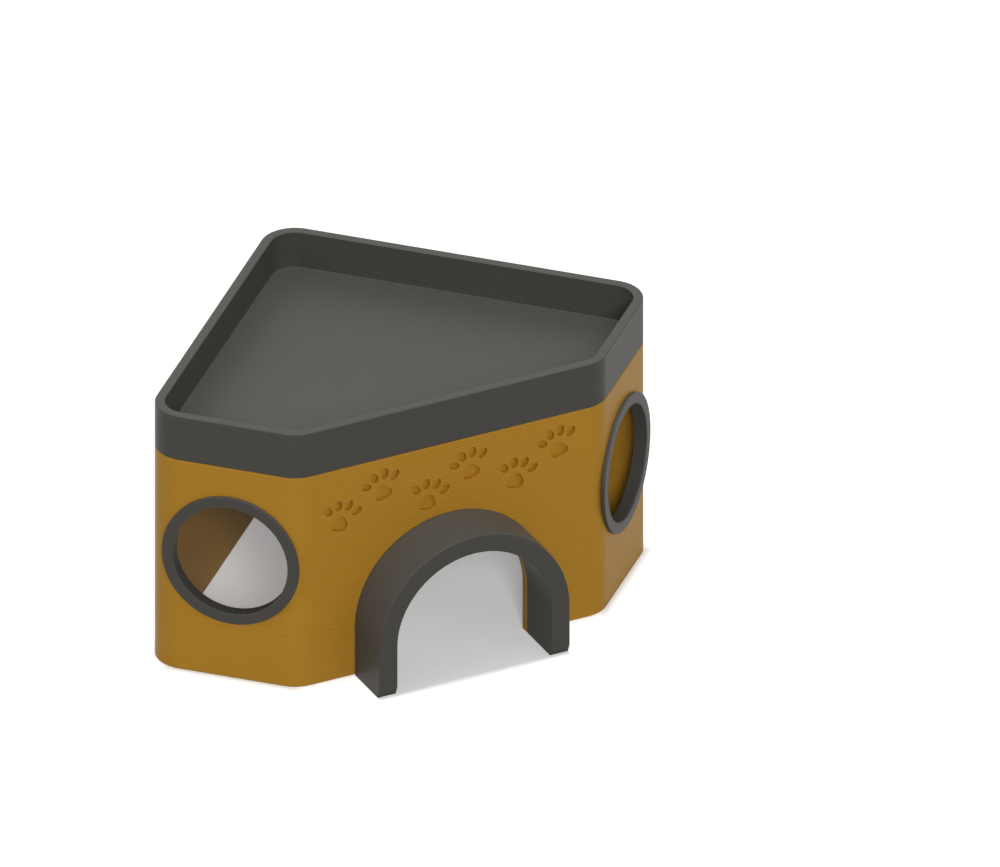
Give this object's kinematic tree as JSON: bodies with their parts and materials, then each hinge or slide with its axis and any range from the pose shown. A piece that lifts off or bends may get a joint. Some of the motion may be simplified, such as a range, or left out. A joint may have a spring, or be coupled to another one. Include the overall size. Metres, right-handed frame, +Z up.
{
  "type": "hamster house",
  "caption": "Corner house for a hamster: open-bottomed walled shell with round windows, an arched porch at the doorway and a lift-off roof that is a shallow tray.",
  "frame": {"origin": "middle of the whole footprint, door arch included, on the surface that the house stands on", "axes": "+Z up, -Y out of the front wall and its doorway, +X to the right seen from the back corner towards the door; the house is symmetric about X = 0"},
  "size_m": [0.2728, 0.2192, 0.145],
  "materials": {
    "ochre_print": "satin ochre-brown printed plastic",
    "charcoal_print": "satin charcoal printed plastic"
  },
  "bodies": {
    "house": {"house_shell": "ochre_print"},
    "roof": {"roof_tray": "charcoal_print"},
    "left_ring": {"window_ring_left": "charcoal_print"},
    "right_ring": {"window_ring_right": "charcoal_print"},
    "arch": {"door_arch": "charcoal_print"}
  },
  "joints": [
    {"name": "roof_lift", "type": "slide", "parent": "house", "child": "roof", "axis": [0, 0, 1], "range_m": [0, 0.1]},
    {"name": "left_ring_pull", "type": "slide", "parent": "house", "child": "left_ring", "axis": [-0.7071, -0.7071, 0], "range_m": [0, 0.057]},
    {"name": "right_ring_pull", "type": "slide", "parent": "house", "child": "right_ring", "axis": [0.7071, -0.7071, 0], "range_m": [0, 0.08]},
    {"name": "arch_pull", "type": "slide", "parent": "house", "child": "arch", "axis": [0, -1, 0], "range_m": [0, 0.085]}
  ]
}
